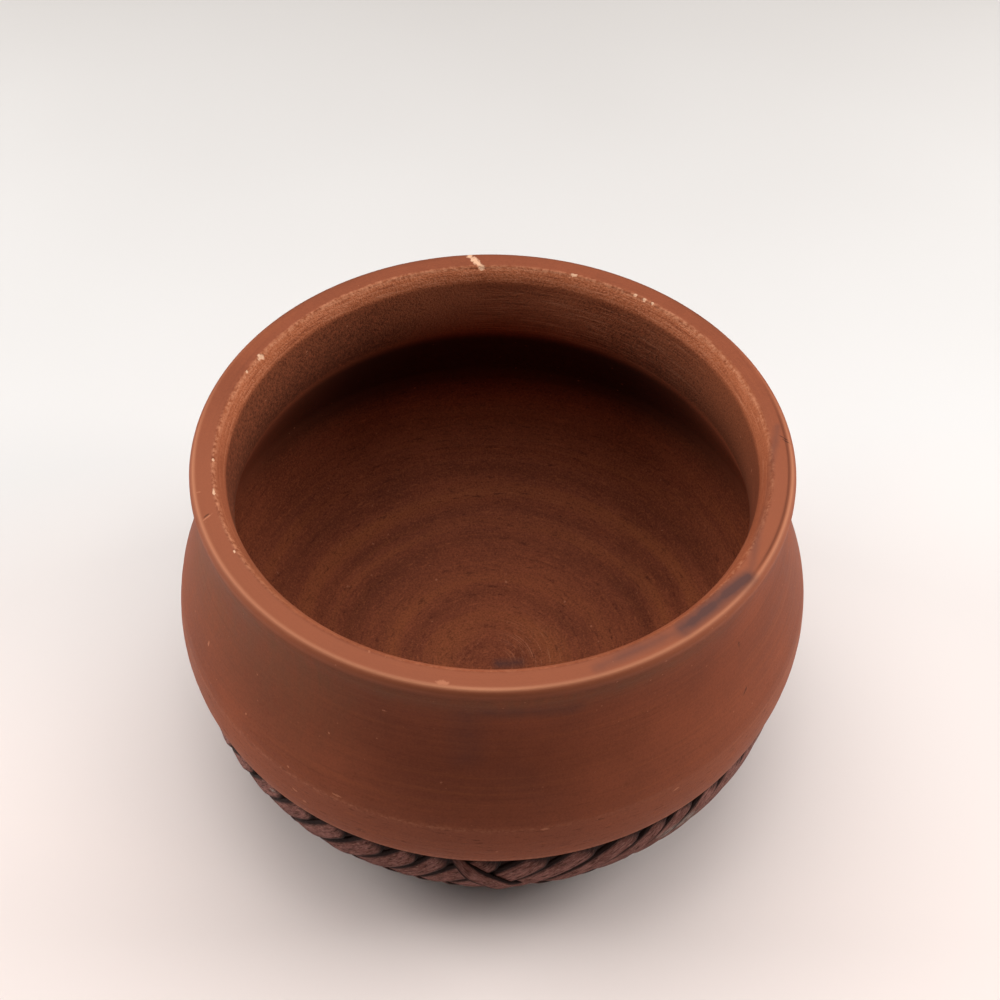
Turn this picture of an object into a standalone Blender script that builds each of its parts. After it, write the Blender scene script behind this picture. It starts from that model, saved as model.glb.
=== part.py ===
"""A wheel-thrown clay bowl with a five-strand plait of flat strips in a groove under its belly.

Metres, +Z up. The origin is the middle of the flat foot, and -Y is the front, where the
plait's ends meet.
"""
import math

import bpy
import numpy as np

# Clay bowl, radii and widths
RIM_RADIUS = 0.0603
LIP_WIDTH = 0.0070
LIP_FLAT = 0.0034
EDGE_ROUND = 0.0014
NECK_DEPTH = 0.0009
BELLY_RADIUS = 0.0670
RIDGE_INSET = 0.0012
CLAY_EDGE_INSET = 0.0009
BELLY_WALL = 0.0063
FOOT_BEVEL = 0.0012
LEDGE_DEPTH = 0.0014

# Clay bowl, heights of each stage of the profile
RIM_HEIGHT = 0.0077
SHOULDER_HEIGHT = 0.0255
RIDGE_TO_BELLY = 0.0080
BELLY_TO_EDGE = 0.0065
FOOT_HEIGHT = 0.0072
FLOOR_THICKNESS = 0.0045
LIP_DROP = 0.0030
THROAT_DEPTH = 0.0170
CREASE_BELOW_RIDGE = 0.0023

# Clay bowl, leans of the profile's curves: outwards for each unit of the way up or down
CREASE_LEAN = -0.20
THROAT_LEAN = -0.55
LIP_FOOT_LEAN = 0.35
LIP_CREST_LEAN = 1.3
RIM_CORNER_LEAN = 0.12
SHOULDER_FOOT_LEAN = 0.34
RIDGE_LEAN = 0.22
CLAY_EDGE_LEAN = -0.30
INSIDE_FULLNESS = 2.2           # 2 is an ellipse, more is squarer

# Plait
STRANDS = 5                     # odd, so that rising and falling strips cross between each other
PITCH = 0.0081                  # along the band, from one strip's turn to the next strip's turn
STRIP_THICKNESS = 0.0007
TURN_RUN = 0.0026               # the stretch in which a strip turns from slanted to upright
JOG_SLOPE = math.radians(75)    # how steeply a strip dives from the front layer to the back one
SECTION_RADIUS = 0.0266         # the band bulges on this arc, seen in section
PLAIT_TOP_ANGLE = math.radians(8.6)
OVERHANG = 0.0010               # how far the clay edge stands out past the plait
FIRST_TURN = math.radians(1.6)  # angle of one strip's upper turn from the front
JOIN_TOP = math.radians(-7.4)
JOIN_FOOT = math.radians(7.2)

# Clearances between pieces that touch
SEAT_CLEARANCE = 0.0003
LAYER_CLEARANCE = 0.0004
END_GAP = 0.0004

# Finishes
CLAY_COLOUR = (0.20, 0.058, 0.032)
CLAY_ROUGHNESS = 0.62
STRIP_COLOUR = (0.115, 0.060, 0.054)
STRIP_ROUGHNESS = 0.75
SHADE_STEP = 0.05               # each strip is lighter than the one before by this part

# Facets
ROUND_STEPS = 56
FLOOR_STEPS = 11
SHOULDER_STEPS = 7
GROOVE_STEPS = 8
CURVE_STEPS = 4
SHORT_CURVE_STEPS = 3
JOIN_STEPS = 7
MERGE_DISTANCE = 0.00001
SETTLING_ROUNDS = 20

# Sizes that follow: the plait's layers, one strip thick each, over the clay
layer_step = STRIP_THICKNESS + LAYER_CLEARANCE
back_layer = SEAT_CLEARANCE + STRIP_THICKNESS / 2
plait_middle = back_layer + layer_step / 2
plait_depth = back_layer + layer_step + STRIP_THICKNESS / 2
groove_radius = SECTION_RADIUS - plait_depth
middle_radius = groove_radius + plait_middle

# Sizes that follow: the arc on which the plait lies, seen in section
clay_edge_radius = BELLY_RADIUS - CLAY_EDGE_INSET
section_centre_radius = clay_edge_radius - OVERHANG - SECTION_RADIUS

# Sizes that follow: a strip runs from edge to edge in half of its strand's wave
first_centre_radius = section_centre_radius + SECTION_RADIUS
waves = max(1, round(2 * math.pi * first_centre_radius / (STRANDS * PITCH)))
wave_angle = 2 * math.pi / waves
turn_angle = wave_angle / STRANDS


def plait_sizes():
    """Half advance, strip reach and centre angle of the plait, where strips cross at right angles.

    The centre line's radius depends on the plait's width and the width on that radius, so
    the two are settled together in a few rounds.
    """
    centre_radius = first_centre_radius
    for _ in range(SETTLING_ROUNDS):
        half_advance = wave_angle / 4 * centre_radius
        reach = half_advance + TURN_RUN / 2
        half_width = reach + layer_step / 2 + STRIP_THICKNESS / 2
        centre_angle = PLAIT_TOP_ANGLE - half_width / middle_radius
        centre_radius = section_centre_radius + middle_radius * math.cos(centre_angle)
    return half_advance, reach, half_width, centre_angle, centre_radius


half_advance, strip_reach, half_width, centre_angle, centre_radius = plait_sizes()
straight_reach = strip_reach - TURN_RUN

# A strip dives between two neighbours, so they leave room for its thickness on edge
strip_gap = STRIP_THICKNESS + 2 * SEAT_CLEARANCE
strip_width = turn_angle * centre_radius * math.sin(math.pi / 4) - strip_gap

# Heights that follow, from the foot up
groove_top_angle = PLAIT_TOP_ANGLE + SEAT_CLEARANCE / middle_radius
groove_foot_angle = centre_angle - (half_width + SEAT_CLEARANCE) / middle_radius
ledge_radius = groove_radius + LEDGE_DEPTH
section_centre_height = FOOT_HEIGHT - ledge_radius * math.sin(groove_foot_angle)
clay_edge_height = section_centre_height \
    + (clay_edge_radius - section_centre_radius) * math.tan(groove_top_angle)
belly_height = clay_edge_height + BELLY_TO_EDGE
ridge_height = belly_height + RIDGE_TO_BELLY
neck_height = ridge_height + SHOULDER_HEIGHT
bowl_height = neck_height + RIM_HEIGHT


def arc(centre, radius, start, end, steps):
    """Points on a circular arc of the profile, with angles measured up from straight outwards."""
    angles = np.linspace(start, end, steps + 1)
    return np.column_stack((centre[0] + radius * np.cos(angles),
                            centre[1] + radius * np.sin(angles)))


def sweep(start, start_lean, end, end_lean, steps):
    """Points on a cubic curve between two profile points, without the first.

    A lean is how far the curve moves outwards for each unit that it moves along its way up
    or down.
    """
    start, end = np.array(start), np.array(end)
    rise = end[1] - start[1]
    along = np.linspace(0, 1, steps + 1)[1:, None]
    start_pull = np.array((start_lean * abs(rise), rise))
    end_pull = np.array((end_lean * abs(rise), rise))
    return ((2 * along ** 3 - 3 * along ** 2 + 1) * start
            + (along ** 3 - 2 * along ** 2 + along) * start_pull
            + (3 * along ** 2 - 2 * along ** 3) * end
            + (along ** 3 - along ** 2) * end_pull)


def bowl_profile():
    """The turned outline: up the inside from the floor, over the lip, and down to the foot."""
    crease = (BELLY_RADIUS - BELLY_WALL, ridge_height - CREASE_BELOW_RIDGE)
    turn = np.linspace(0, math.pi / 2, FLOOR_STEPS + 1)
    power = 2 / INSIDE_FULLNESS
    inside = np.column_stack((crease[0] * np.sin(turn) ** power,
                              crease[1] - (crease[1] - FLOOR_THICKNESS) * np.cos(turn) ** power))

    throat = (RIM_RADIUS - LIP_WIDTH, bowl_height - THROAT_DEPTH)
    under_shoulder = sweep(crease, CREASE_LEAN, throat, THROAT_LEAN, CURVE_STEPS)
    lip_foot = (throat[0], bowl_height - LIP_DROP)
    lip_crest = (RIM_RADIUS - EDGE_ROUND - LIP_FLAT, bowl_height)
    lip_slope = sweep(lip_foot, LIP_FOOT_LEAN, lip_crest, LIP_CREST_LEAN, CURVE_STEPS)
    corner_middle = (RIM_RADIUS - EDGE_ROUND, bowl_height - EDGE_ROUND)
    lip_corner = arc(corner_middle, EDGE_ROUND, math.pi / 2, 0, SHORT_CURVE_STEPS)

    neck = (RIM_RADIUS - NECK_DEPTH, neck_height)
    rolled_rim = sweep(lip_corner[-1], RIM_CORNER_LEAN, neck, 0.0, CURVE_STEPS)
    ridge = (BELLY_RADIUS - RIDGE_INSET, ridge_height)
    shoulder = sweep(neck, 0.0, ridge, SHOULDER_FOOT_LEAN, SHOULDER_STEPS)
    belly = (BELLY_RADIUS, belly_height)
    upper_belly = sweep(ridge, RIDGE_LEAN, belly, 0.0, SHORT_CURVE_STEPS)
    clay_edge = (clay_edge_radius, clay_edge_height)
    lower_belly = sweep(belly, 0.0, clay_edge, CLAY_EDGE_LEAN, SHORT_CURVE_STEPS)

    centre = (section_centre_radius, section_centre_height)
    groove = arc(centre, groove_radius, groove_top_angle, groove_foot_angle, GROOVE_STEPS)
    ledge = arc(centre, ledge_radius, groove_foot_angle, groove_foot_angle, 0)
    foot_radius = ledge[0][0]
    foot = [(foot_radius, FOOT_BEVEL), (foot_radius - FOOT_BEVEL, 0.0), (0.0, 0.0)]
    return np.vstack((inside, under_shoulder, [lip_foot], lip_slope, lip_corner, rolled_rim,
                      shoulder, upper_belly, lower_belly, groove, ledge, foot))


def finish(name, colour, roughness):
    """A plain material for one piece."""
    material = bpy.data.materials.new(name + "_finish")
    material.use_nodes = True
    shader = material.node_tree.nodes["Principled BSDF"]
    shader.inputs["Base Color"].default_value = (*colour, 1.0)
    shader.inputs["Roughness"].default_value = roughness
    shader.inputs["Metallic"].default_value = 0.0
    return material


def strip_finish(name, number):
    """The finish of one strip, a shade lighter than that of the strip numbered before it."""
    shade = 1 + SHADE_STEP * number
    return finish(name, [channel * shade for channel in STRIP_COLOUR], STRIP_ROUGHNESS)


def add_piece(name, points, edges, faces, material, collection):
    """A named object made from points, with its finish, in the object's collection."""
    mesh = bpy.data.meshes.new(name)
    mesh.from_pydata([tuple(point) for point in points], edges, faces)
    mesh.materials.append(material)
    piece = bpy.data.objects.new(name, mesh)
    collection.objects.link(piece)
    return piece


def add_bowl(collection):
    """The clay body: its profile turned round the upright axis."""
    profile = bowl_profile()
    points = np.column_stack((profile[:, 0], np.zeros(len(profile)), profile[:, 1]))
    edges = [(i, i + 1) for i in range(len(points) - 1)]
    material = finish("clay_bowl", CLAY_COLOUR, CLAY_ROUGHNESS)
    bowl = add_piece("clay_bowl", points, edges, [], material, collection)
    turned = bowl.modifiers.new("Turned", "SCREW")
    turned.axis = "Z"
    turned.steps = ROUND_STEPS
    turned.render_steps = ROUND_STEPS
    turned.use_merge_vertices = True
    turned.merge_threshold = MERGE_DISTANCE
    turned.use_smooth_shade = True


def slant(across):
    """How far a strip moves along the band for each unit across it: 1 midway, 0 at the edges."""
    return np.clip((strip_reach - np.abs(across)) / TURN_RUN, 0, 1)


def advance(across):
    """Where along the band a strip is, from the middle of its rise, at a place across the band."""
    turned = np.clip(np.abs(across) - straight_reach, 0, TURN_RUN)
    straight = np.minimum(np.abs(across), straight_reach)
    return np.sign(across) * (straight + turned - turned ** 2 / (2 * TURN_RUN))


def rise():
    """Stations on one rise of a strip: along, across, layer and slant.

    The strip comes round the band's lower edge, climbs behind its neighbours, jogs out
    between them midway, and climbs in front to the upper edge. The layer is -1 behind, 1 in
    front and 0 where the strip turns round an edge.
    """
    jog = layer_step / 2 / math.tan(JOG_SLOPE) * math.sin(math.pi / 4)
    turning = straight_reach + TURN_RUN / 2
    half = np.array((jog, straight_reach / 2, straight_reach, turning, strip_reach))
    across = np.concatenate(([-strip_reach - layer_step / 2], -half[::-1], half))
    layer = np.concatenate(([0.0], -np.ones(len(half)), np.ones(len(half))))
    return np.column_stack((advance(across), across, layer, slant(across)))


def strand_stations(upper_turn):
    """All stations of one strand, once round the bowl: along, across, layer and lean.

    A fall is a rise turned upside down. The strand starts and ends behind its neighbours,
    halfway up the lower part of a rise.
    """
    up = rise()
    down = up * (1, -1, 1, -1)
    down[:, 0] += 2 * half_advance
    wave = np.vstack((up, down))
    wave_length = 4 * half_advance
    stations = np.vstack([wave + (turn * wave_length, 0, 0, 0) for turn in range(waves)])
    first = int(np.argmin(np.abs(up[:, 1] + straight_reach / 2)))
    ends_at = stations[first] + (waves * wave_length, 0, 0, 0)
    early = stations[:first] + (waves * wave_length, 0, 0, 0)
    stations = np.vstack((stations[first:], early, ends_at))
    step_back = END_GAP / 2 * math.sin(math.pi / 4)
    stations[0] += (step_back, step_back, 0, 0)
    stations[-1] -= (step_back, step_back, 0, 0)
    stations[:, 0] += upper_turn * centre_radius - half_advance
    return stations


def on_band(along, across, height):
    """Points of the band in space, from places along and across it and heights over the clay."""
    angle = along / centre_radius
    tilt = centre_angle + across / middle_radius
    radius = section_centre_radius + (groove_radius + height) * np.cos(tilt)
    return np.column_stack((radius * np.sin(angle), -radius * np.cos(angle),
                            section_centre_height + (groove_radius + height) * np.sin(tilt)))


def add_strip(name, stations, heights, material, collection):
    """A flat strip through stations on the band: an open ribbon that Solidify makes thick."""
    along, across, lean = stations[:, 0], stations[:, 1], stations[:, 3]
    half_strip = strip_width / 2 / np.sqrt(1 + lean ** 2)
    left = on_band(along - half_strip, across + half_strip * lean, heights)
    right = on_band(along + half_strip, across - half_strip * lean, heights)
    points = np.vstack((left, right))
    count = len(stations)
    faces = [(i, count + i, count + i + 1, i + 1) for i in range(count - 1)]
    strip = add_piece(name, points, [], faces, material, collection)
    thick = strip.modifiers.new("Thickness", "SOLIDIFY")
    thick.thickness = STRIP_THICKNESS
    thick.offset = 0.0
    thick.use_even_offset = True


def add_strand(number, collection):
    """One strand of the plait, over two and under two, once round the bowl."""
    name = f"plait_strand_{number + 1}"
    stations = strand_stations(FIRST_TURN + (number - STRANDS // 2) * turn_angle)
    heights = plait_middle + stations[:, 2] * layer_step / 2
    add_strip(name, stations, heights, strip_finish(name, number), collection)


def add_join_strip(collection):
    """The strip that lies over the plait at the front, where the strands' ends meet."""
    steps = np.linspace(0, 1, JOIN_STEPS + 1)
    across = strip_reach * (1 - 2 * steps)
    along = (JOIN_TOP + (JOIN_FOOT - JOIN_TOP) * steps) * centre_radius
    lean = np.full(len(steps), (along[-1] - along[0]) / (across[-1] - across[0]))
    stations = np.column_stack((along, across, np.ones(len(steps)), lean))
    front_layer = plait_middle + layer_step / 2
    heights = np.full(len(steps), front_layer + layer_step)
    add_strip("join_strip", stations, heights, strip_finish("join_strip", STRANDS), collection)


for old in list(bpy.data.objects):
    bpy.data.objects.remove(old, do_unlink=True)
pottery = bpy.data.collections.new("Clay bowl with plait")
bpy.context.scene.collection.children.link(pottery)
add_bowl(pottery)
for strand in range(STRANDS):
    add_strand(strand, pottery)
add_join_strip(pottery)
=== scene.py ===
import math

import bpy
import numpy as np
from mathutils import Matrix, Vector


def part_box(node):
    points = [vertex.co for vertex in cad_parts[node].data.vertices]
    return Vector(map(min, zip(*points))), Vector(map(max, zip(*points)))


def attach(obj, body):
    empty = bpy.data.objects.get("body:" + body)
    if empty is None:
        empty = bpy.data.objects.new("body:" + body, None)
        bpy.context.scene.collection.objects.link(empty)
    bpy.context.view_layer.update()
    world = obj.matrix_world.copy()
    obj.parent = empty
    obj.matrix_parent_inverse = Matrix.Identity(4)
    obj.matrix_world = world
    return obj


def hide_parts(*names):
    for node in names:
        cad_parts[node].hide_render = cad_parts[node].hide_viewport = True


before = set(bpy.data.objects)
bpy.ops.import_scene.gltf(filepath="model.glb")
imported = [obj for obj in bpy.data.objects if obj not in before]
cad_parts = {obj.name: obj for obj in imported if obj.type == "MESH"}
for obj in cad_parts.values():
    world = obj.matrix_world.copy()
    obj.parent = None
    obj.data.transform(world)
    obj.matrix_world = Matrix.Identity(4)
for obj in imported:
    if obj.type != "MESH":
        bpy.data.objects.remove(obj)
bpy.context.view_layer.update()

# Camera. It looks down into the bowl from the front, at the photograph's angle, through a
# lens long enough to keep the rim's ellipse as open as the picture shows it.
bowl_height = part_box("clay_bowl")[1].z
LOOK_DOWN = math.radians(47.78)
ROLL = math.radians(0.74)
CAMERA_BACK = 0.2224
CAMERA_ABOVE_RIM = 0.2287

lens = bpy.data.cameras.new("camera")
lens.sensor_width = 36.0
lens.lens = 57.6
lens.shift_x = 0.00776
camera = bpy.data.objects.new("camera", lens)
camera.location = (0.0, -CAMERA_BACK, bowl_height + CAMERA_ABOVE_RIM)
turned_down = Matrix.Rotation(math.pi / 2 - LOOK_DOWN, 3, "X")
camera.rotation_euler = (turned_down @ Matrix.Rotation(ROLL, 3, "Z")).to_euler()
bpy.context.scene.collection.objects.link(camera)
bpy.context.scene.camera = camera

# Clay bowl. One body of red clay, thrown on a wheel: the rings of the throwing stay inside,
# the neck is scraped and grainy, and the lip and belly are rubbed smooth before the firing.
# It stands on its flat foot, and the plait sits in the groove under its belly.
RIM_RADIUS = 0.0603
LIP_WIDTH = 0.0070
LIP_FLAT = 0.0034
EDGE_ROUND = 0.0014
NECK_DEPTH = 0.0009
BELLY_RADIUS = 0.0670
RIDGE_INSET = 0.0012
CLAY_EDGE_INSET = 0.0009
CLAY_EDGE_ROUND = 0.0003
BELLY_WALL = 0.0063
FOOT_BEVEL = 0.0036
FOOT_BEVEL_HEIGHT = 0.0054
LEDGE_DEPTH = 0.0014
RIM_HEIGHT = 0.0077
SHOULDER_HEIGHT = 0.0255
RIDGE_TO_BELLY = 0.0080
BELLY_TO_EDGE = 0.0065
FOOT_HEIGHT = 0.0072
FLOOR_THICKNESS = 0.0045
LIP_DROP = 0.0030
THROAT_DEPTH = 0.0170
CREASE_BELOW_RIDGE = 0.0023
INSIDE_FULLNESS = 2.2
CREASE_LEAN = -0.20
THROAT_LEAN = -0.28
NECK_TOP_LEAN = 0.10
SLOPE_FOOT_LEAN = 0.35
SLOPE_TOP_LEAN = 1.3
RIM_LEAN = 0.12
SHOULDER_FOOT_LEAN = 0.34
RIDGE_LEAN = 0.22
CLAY_EDGE_LEAN = -0.30
UNDERSIDE_HOLE = 0.0004
ROUND_STEPS = 352

neck_height = bowl_height - RIM_HEIGHT
ridge_height = neck_height - SHOULDER_HEIGHT
belly_height = ridge_height - RIDGE_TO_BELLY
clay_edge_height = belly_height - BELLY_TO_EDGE
clay_edge_radius = BELLY_RADIUS - CLAY_EDGE_INSET

# The plait's arc in section: its groove is the same arc, deeper by the plait's two layers
SECTION_RADIUS = 0.0266
OVERHANG = 0.0010
PLAIT_DEPTH = 0.0021
GROOVE_TOP = math.radians(9.30)
section_centre_radius = clay_edge_radius - OVERHANG - SECTION_RADIUS
section_centre_height = clay_edge_height \
    - (clay_edge_radius - section_centre_radius) * math.tan(GROOVE_TOP)
groove_radius = SECTION_RADIUS - PLAIT_DEPTH
ledge_radius = groove_radius + LEDGE_DEPTH
groove_foot = math.asin((FOOT_HEIGHT - section_centre_height) / ledge_radius)


def curve(start, start_lean, end, end_lean, steps):
    """A cubic curve between two profile points, without the first point.

    A lean is how far the curve moves outwards for each unit that it moves up or down.
    """
    start = np.array(start)
    end = np.array(end)
    rise = end[1] - start[1]
    share = np.linspace(0, 1, steps + 1)[1:, None]
    start_pull = np.array((start_lean * abs(rise), rise))
    end_pull = np.array((end_lean * abs(rise), rise))
    return ((2 * share ** 3 - 3 * share ** 2 + 1) * start
            + (share ** 3 - 2 * share ** 2 + share) * start_pull
            + (3 * share ** 2 - 2 * share ** 3) * end
            + (share ** 3 - share ** 2) * end_pull)


def straight(start, end, steps):
    """Points on a straight line, without the first point."""
    share = np.linspace(0, 1, steps + 1)[1:, None]
    return np.array(start) + share * (np.array(end) - np.array(start))


def arc(centre, radius, start, end, steps):
    """Points on a circular arc, with angles measured up from straight outwards."""
    angle = np.linspace(start, end, steps + 1)
    return np.column_stack((centre[0] + radius * np.cos(angle), centre[1] + radius * np.sin(angle)))


def bowl_profile():
    """The turned outline as (radius, height) rows, and the row at which each stage ends.

    It runs from the middle of the floor up the inside, over the lip, down the outside and
    under the foot.
    """
    crease = (BELLY_RADIUS - BELLY_WALL, ridge_height - CREASE_BELOW_RIDGE)
    turn = np.linspace(0, math.pi / 2, 81)[1:]
    power = 2 / INSIDE_FULLNESS
    inside = np.column_stack((crease[0] * np.sin(turn) ** power,
                              crease[1] - (crease[1] - FLOOR_THICKNESS) * np.cos(turn) ** power))
    throat = (RIM_RADIUS - LIP_WIDTH, bowl_height - THROAT_DEPTH)
    lip_foot = (throat[0], bowl_height - LIP_DROP)
    lip_crest = (RIM_RADIUS - EDGE_ROUND - LIP_FLAT, bowl_height)
    lip_edge = (RIM_RADIUS - EDGE_ROUND, bowl_height)
    corner_middle = (RIM_RADIUS - EDGE_ROUND, bowl_height - EDGE_ROUND)
    rim_side = (RIM_RADIUS, bowl_height - EDGE_ROUND)
    neck = (RIM_RADIUS - NECK_DEPTH, neck_height)
    ridge = (BELLY_RADIUS - RIDGE_INSET, ridge_height)
    belly = (BELLY_RADIUS, belly_height)
    edge_start = (clay_edge_radius, clay_edge_height + CLAY_EDGE_ROUND)
    edge_middle = (clay_edge_radius - CLAY_EDGE_ROUND, clay_edge_height + CLAY_EDGE_ROUND)
    centre = (section_centre_radius, section_centre_height)
    groove = arc(centre, groove_radius, GROOVE_TOP, groove_foot, 16)
    ledge = arc(centre, ledge_radius, groove_foot, groove_foot, 0)[0]
    foot = (ledge[0], FOOT_BEVEL_HEIGHT)
    sole = (ledge[0] - FOOT_BEVEL, 0.0)
    stages = {
        "inside": inside,
        "under_shoulder": curve(crease, CREASE_LEAN, throat, THROAT_LEAN, 22),
        "neck_wall": curve(throat, THROAT_LEAN, lip_foot, NECK_TOP_LEAN, 20),
        "lip_slope": curve(lip_foot, SLOPE_FOOT_LEAN, lip_crest, SLOPE_TOP_LEAN, 16),
        "lip_flat": straight(lip_crest, lip_edge, 12),
        "lip_corner": arc(corner_middle, EDGE_ROUND, math.pi / 2, 0, 8)[1:],
        "rolled_rim": curve(rim_side, RIM_LEAN, neck, 0.0, 12),
        "shoulder": curve(neck, 0.0, ridge, SHOULDER_FOOT_LEAN, 34),
        "upper_belly": curve(ridge, RIDGE_LEAN, belly, 0.0, 12),
        "lower_belly": curve(belly, 0.0, edge_start, CLAY_EDGE_LEAN, 10),
        "edge_round": arc(edge_middle, CLAY_EDGE_ROUND, 0, -math.pi / 2, 4)[1:],
        "under_edge": straight((edge_middle[0], clay_edge_height), groove[0], 3),
        "groove": groove[1:],
        "ledge": straight(groove[-1], ledge, 2),
        "foot": straight(ledge, foot, 3),
        "sole": straight(foot, sole, 2),
        "underside": straight(sole, (UNDERSIDE_HOLE, 0.0), 10),
    }
    ends = dict(zip(stages, np.cumsum([len(rows) for rows in stages.values()]) - 1))
    return np.vstack(list(stages.values())), ends


def closed_tube(name, grid):
    """A mesh from rows of points: each row is closed on itself and joined to the next one.

    A fan of triangles to the middle of the row closes each end.
    """
    rows, columns = grid.shape[:2]
    number = np.arange(rows * columns).reshape(rows, columns)
    beside = np.roll(number, -1, axis=1)
    quads = np.stack((number[:-1], beside[:-1], beside[1:], number[1:]), axis=-1).reshape(-1, 4)
    first_middle = rows * columns
    last_middle = first_middle + 1
    first_fan = np.column_stack((beside[0], number[0], np.full(columns, first_middle)))
    last_fan = np.column_stack((number[-1], beside[-1], np.full(columns, last_middle)))
    points = np.vstack((grid.reshape(-1, 3), grid[0].mean(axis=0), grid[-1].mean(axis=0)))
    mesh = bpy.data.meshes.new(name)
    mesh.from_pydata(points, [], quads.tolist() + first_fan.tolist() + last_fan.tolist())
    mesh.shade_smooth()
    piece = bpy.data.objects.new(name, mesh)
    bpy.context.scene.collection.objects.link(piece)
    return piece


def paint(piece, name, values):
    """A number at each point of a piece, for its material, from a grid of the piece's rows."""
    ends = (values[0].mean(), values[-1].mean())
    attribute = piece.data.attributes.new(name, "FLOAT", "POINT")
    attribute.data.foreach_set("value", np.append(values.ravel(), ends).astype(np.float32))


def soft_step(values, low, high):
    """0 below low, 1 above high and a smooth step between them."""
    share = np.clip((values - low) / (high - low), 0, 1)
    return share * share * (3 - 2 * share)


def span(values, start, full, ending, end):
    """1 from full to ending, with a smooth step up from start and a smooth step down to end."""
    return soft_step(values, start, full) * soft_step(-values, -end, -ending)


def bump_at(values, middle, width):
    """A bell-shaped bump of height 1 round a middle value."""
    return np.exp(-((values - middle) / width) ** 2)


def running_length(points):
    """How far along a line of points each of them lies: the sum of the steps before it."""
    steps = np.linalg.norm(np.diff(points, axis=0), axis=1)
    return np.concatenate(([0], np.cumsum(steps)))


def at_angle(degrees, radius, height):
    """A point on the bowl from its angle round from the front, its radius and its height."""
    angle = math.radians(degrees)
    return np.array((radius * math.sin(angle), -radius * math.cos(angle), height))


def closeness(points, start, end, size):
    """1 on the line between two points, falling evenly to 0 at a distance of size from it."""
    line = end - start
    share = np.clip((points - start) @ line / (line @ line), 0, 1)
    distance = np.linalg.norm(points - start - share[..., None] * line, axis=-1)
    return np.clip(1 - distance / size, 0, 1)


profile, stage_end = bowl_profile()
along = running_length(profile)
stage_at = {stage: along[row] for stage, row in stage_end.items()}
inside_end = stage_at["inside"]
throat_at = stage_at["under_shoulder"]
slope_start = stage_at["neck_wall"]
slope_end = stage_at["lip_slope"]
flat_end = stage_at["lip_flat"]
corner_end = stage_at["lip_corner"]
rim_end = stage_at["rolled_rim"]
ridge_at = stage_at["shoulder"]
clay_edge_at = stage_at["lower_belly"]
edge_end = stage_at["edge_round"]
way = np.gradient(profile, axis=0)
way /= np.linalg.norm(way, axis=1)[:, None]
angle = np.linspace(-math.pi, math.pi, ROUND_STEPS, endpoint=False)[None, :]
degrees = np.degrees(angle)
path = along[:, None]

# Throwing rings: waves along the profile that drift as a spiral, fading at the middle. Each
# has its strength, its spacing, its drift round the bowl and its start.
RING_DEPTH = 0.00003
ring_waves = [(1.0, 0.0069, 1, 0.7), (0.7, 0.0043, -1, 2.1), (0.8, 0.0117, 0, 0.3)]
rings = sum(strength * np.cos(2 * math.pi * path / spacing + drift * angle + start)
            for strength, spacing, drift, start in ring_waves)
relief = RING_DEPTH * rings * span(path, 0.001, 0.010, inside_end - 0.020, inside_end)

# Turning marks outside, the raised line below the ridge, and the worn line inside the lip
TURNING_DEPTH = 0.000018
TURNING_SPACING = 0.0023
RIDGE_LINE_DROP = 0.0027
RIDGE_LINE_RISE = 0.00006
LIP_LINE_RISE = 0.00007
outside = soft_step(path, corner_end, corner_end + 0.004)
relief = relief + TURNING_DEPTH * np.cos(2 * math.pi * path / TURNING_SPACING + angle) * outside
ridge_line = bump_at(path, ridge_at + RIDGE_LINE_DROP, 0.00055) * (0.6 + 0.4 * np.cos(3 * angle + 1.0))
lip_line = bump_at(path, slope_end, 0.00030) * (0.7 + 0.3 * np.cos(5 * angle))
relief = relief + RIDGE_LINE_RISE * ridge_line + LIP_LINE_RISE * lip_line

# A groove in the lip's flat, near its outer edge on the right, and painted shade on the lip's far edge,
# where its rounded corner turns away
LIP_GROOVE_DEPTH = 0.00016
lip_groove = bump_at(path, flat_end - 0.0002, 0.00026) * span(degrees, 50, 64, 93, 112)
relief = relief - LIP_GROOVE_DEPTH * lip_groove
far_edge_shade = bump_at(path, flat_end + 0.0007, 0.0006) * soft_step(np.abs(degrees), 112, 135)

# The body is slightly out of round, and fuller on the right of the shoulder
FULLER_RIGHT = 0.0006
radius = profile[:, :1] - relief * way[:, 1:]
radius = radius * (1 + 0.0016 * np.cos(2 * angle + 0.6) + 0.0009 * np.cos(3 * angle + 2.0))
fuller_right = bump_at(degrees, 84, 42) * span(path, rim_end, rim_end + 0.012, ridge_at, clay_edge_at)
radius = radius + FULLER_RIGHT * fuller_right
height = profile[:, 1:] + relief * way[:, :1]
bowl_points = np.stack((radius * np.sin(angle), -radius * np.cos(angle), height + 0 * angle), axis=-1)
clay = closed_tube("clay_bowl_fired", bowl_points)

# Lighter and darker throwing rings on the inside: radius, width and tone of each
RING_MIDDLE = (0.0022, 0.0002)
throwing_rings = [
    (0.0125, 0.0040, 0.8), (0.0200, 0.0022, -0.6), (0.0245, 0.0028, 0.6), (0.0345, 0.0024, -0.9),
    (0.0383, 0.0020, 0.7), (0.0415, 0.0018, -0.6), (0.0456, 0.0022, 0.9), (0.0500, 0.0030, -0.6),
    (0.0535, 0.0016, 0.4),
]
from_middle = np.hypot(bowl_points[..., 0] - RING_MIDDLE[0], bowl_points[..., 1] - RING_MIDDLE[1])
from_middle = from_middle + 0.0006 * np.cos(2 * angle + 1.0) + 0.0005 * np.cos(5 * angle)
inside_wall = soft_step(-path, -inside_end, -inside_end + 0.004)
ring_tone = sum(tone * bump_at(from_middle, middle, width) for middle, width, tone in throwing_rings)
ring_tone = ring_tone * inside_wall * (0.78 + 0.22 * np.cos(3 * angle + 0.4))
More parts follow.
